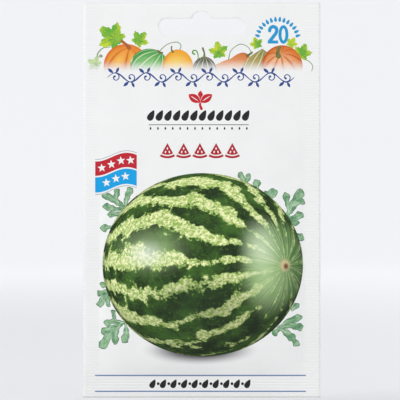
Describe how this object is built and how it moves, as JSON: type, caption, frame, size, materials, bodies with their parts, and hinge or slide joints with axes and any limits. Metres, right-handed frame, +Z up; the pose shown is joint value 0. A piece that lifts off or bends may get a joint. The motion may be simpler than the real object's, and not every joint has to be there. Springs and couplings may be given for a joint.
{
  "type": "seed packet",
  "caption": "Flat sealed paper sachet of watermelon seeds, with a round-ended hang slot in its header for a display hook.",
  "frame": {"origin": "where a display hook bears: the top of the hang slot's round rise, midway between the two webs", "axes": "+Z up the packet from its bottom seal to its header, +Y out of its back, so its printed front faces -Y, and +X to the right as the front shows it"},
  "size_m": [0.09, 0.0048, 0.15],
  "materials": {
    "front_paper": "satin",
    "back_paper": "satin",
    "sealant": "satin",
    "seed_coat": "satin"
  },
  "bodies": {
    "root": {"front_panel": "front_paper", "back_panel": "back_paper", "heat_seal_band": "sealant", "seed_01": "seed_coat", "seed_02": "seed_coat", "seed_03": "seed_coat", "seed_04": "seed_coat", "seed_05": "seed_coat", "seed_06": "seed_coat", "seed_07": "seed_coat", "seed_08": "seed_coat", "seed_09": "seed_coat", "seed_10": "seed_coat", "seed_11": "seed_coat", "seed_12": "seed_coat", "seed_13": "seed_coat", "seed_14": "seed_coat", "seed_15": "seed_coat", "seed_16": "seed_coat", "seed_17": "seed_coat", "seed_18": "seed_coat", "seed_19": "seed_coat", "seed_20": "seed_coat"}
  },
  "joints": []
}
